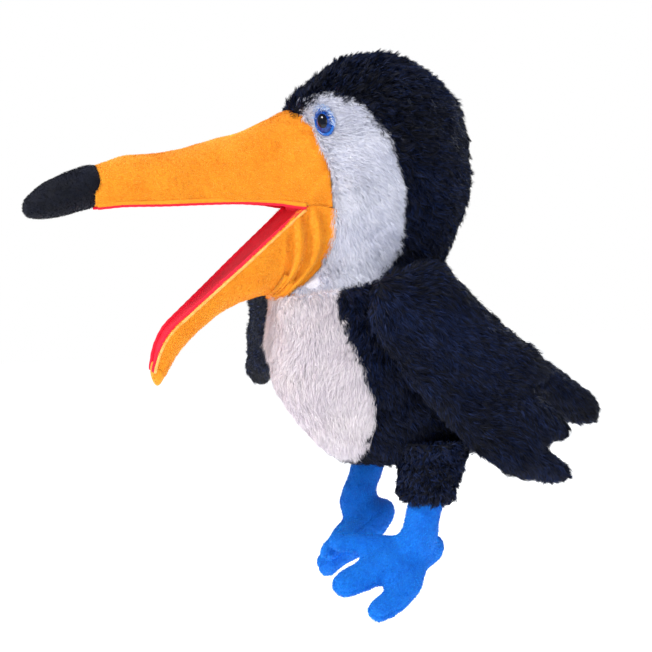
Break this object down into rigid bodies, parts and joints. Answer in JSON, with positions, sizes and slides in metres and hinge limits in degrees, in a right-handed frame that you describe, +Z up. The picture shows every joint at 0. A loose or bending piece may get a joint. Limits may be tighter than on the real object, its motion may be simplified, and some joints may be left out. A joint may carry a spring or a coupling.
{
  "type": "moving mouth hand puppet",
  "caption": "Plush long-beaked bird hand puppet with a mouth that opens, a soft head on a flexible neck, swinging wings, a tail and hanging legs.",
  "frame": {"origin": "centre of the opening for the arm, at the lower back of the torso", "axes": "+Z up, the torso faces -Y, the bird's left is +X; the head is turned 12 degrees to the bird's right"},
  "size_m": [0.3279, 0.4365, 0.398],
  "materials": {
    "black_plush": "long-pile plush, near black with a blue sheen",
    "white_plush": "long-pile plush, white",
    "orange_velboa": "short-pile velboa, golden orange",
    "black_velboa": "short-pile velboa, black",
    "red_felt": "brushed felt, crimson",
    "blue_velboa": "short-pile velboa, bright blue",
    "fibre_fill": "polyester fibre filling",
    "lining_cloth": "plain woven lining",
    "stiffener": "flexible board",
    "eye_plastic": "moulded, glossy blue with a dark pupil",
    "washer_plastic": "moulded, plain"
  },
  "bodies": {
    "torso": {"belly_panel": "white_plush", "under_panel": "black_plush", "side_panel_left": "black_plush", "side_panel_right": "black_plush", "back_panel": "black_plush", "arm_sleeve": "lining_cloth", "belly_stuffing": "fibre_fill", "opening_hem": "lining_cloth"},
    "neck": {"neck_sleeve": "lining_cloth"},
    "head": {"face_panel_left": "white_plush", "face_panel_right": "white_plush", "hood_panel_left": "black_plush", "hood_panel_right": "black_plush", "crown_panel": "black_plush", "crown_stuffing": "fibre_fill", "palm_lining": "lining_cloth", "upper_beak_cover": "orange_velboa", "palate_lining": "red_felt", "upper_mouth_board": "stiffener", "beak_stuffing": "fibre_fill", "finger_pocket": "lining_cloth", "beak_tip": "black_velboa", "cheek_gusset_left": "orange_velboa", "cheek_gusset_right": "orange_velboa", "eye_left": "eye_plastic", "eye_right": "eye_plastic", "eye_washer_left": "washer_plastic", "eye_washer_right": "washer_plastic"},
    "jaw": {"lower_beak_cover": "orange_velboa", "jaw_lining": "red_felt", "lower_mouth_board": "stiffener", "thumb_pocket": "lining_cloth"},
    "wing_left": {"wing_outer_left": "black_plush", "wing_lining_left": "black_plush"},
    "wing_right": {"wing_outer_right": "black_plush", "wing_lining_right": "black_plush"},
    "tail": {"tail_upper": "black_plush", "tail_under": "black_plush"},
    "leg_left": {"leg_cuff_left": "black_plush", "shin_left": "blue_velboa"},
    "leg_right": {"leg_cuff_right": "black_plush", "shin_right": "blue_velboa"},
    "foot_left": {"foot_upper_left": "blue_velboa", "foot_sole_left": "blue_velboa"},
    "foot_right": {"foot_upper_right": "blue_velboa", "foot_sole_right": "blue_velboa"}
  },
  "joints": [
    {"name": "neck_turn", "type": "hinge", "parent": "torso", "child": "neck", "pos_m": [0, -0.0955, 0.1015], "axis": [0, 0, 1], "range_deg": [-25, 45]},
    {"name": "head_nod", "type": "hinge", "parent": "neck", "child": "head", "pos_m": [0.00125, -0.08963, 0.1095], "axis": [0.9781, -0.2079, 0], "range_deg": [-18, 9]},
    {"name": "jaw_open", "type": "hinge", "parent": "head", "child": "jaw", "pos_m": [-0.0104, -0.14441, 0.1555], "axis": [-0.9781, 0.2079, 0], "range_deg": [-5, 31]},
    {"name": "wing_left_swing", "type": "hinge", "parent": "torso", "child": "wing_left", "pos_m": [0.062, -0.1205, 0.0865], "axis": [0, 0, -1], "range_deg": [-4, 90]},
    {"name": "wing_right_swing", "type": "hinge", "parent": "torso", "child": "wing_right", "pos_m": [-0.062, -0.1205, 0.0865], "axis": [0, 0, 1], "range_deg": [-66, 16]},
    {"name": "tail_lift", "type": "hinge", "parent": "torso", "child": "tail", "pos_m": [0, 0.0465, 0.0305], "axis": [1, 0, 0], "range_deg": [-15, 25]},
    {"name": "hip_left", "type": "hinge", "parent": "torso", "child": "leg_left", "pos_m": [0.045, -0.0655, -0.0405], "axis": [1, 0, 0], "range_deg": [-25, 25]},
    {"name": "hip_right", "type": "hinge", "parent": "torso", "child": "leg_right", "pos_m": [-0.045, -0.0655, -0.0355], "axis": [1, 0, 0], "range_deg": [-25, 25]},
    {"name": "ankle_left", "type": "hinge", "parent": "leg_left", "child": "foot_left", "pos_m": [0.045, -0.0757, -0.07607], "axis": [1, 0, 0], "range_deg": [-15, 20]},
    {"name": "ankle_right", "type": "hinge", "parent": "leg_right", "child": "foot_right", "pos_m": [-0.045, -0.07693, -0.07069], "axis": [1, 0, 0], "range_deg": [-15, 20]}
  ]
}
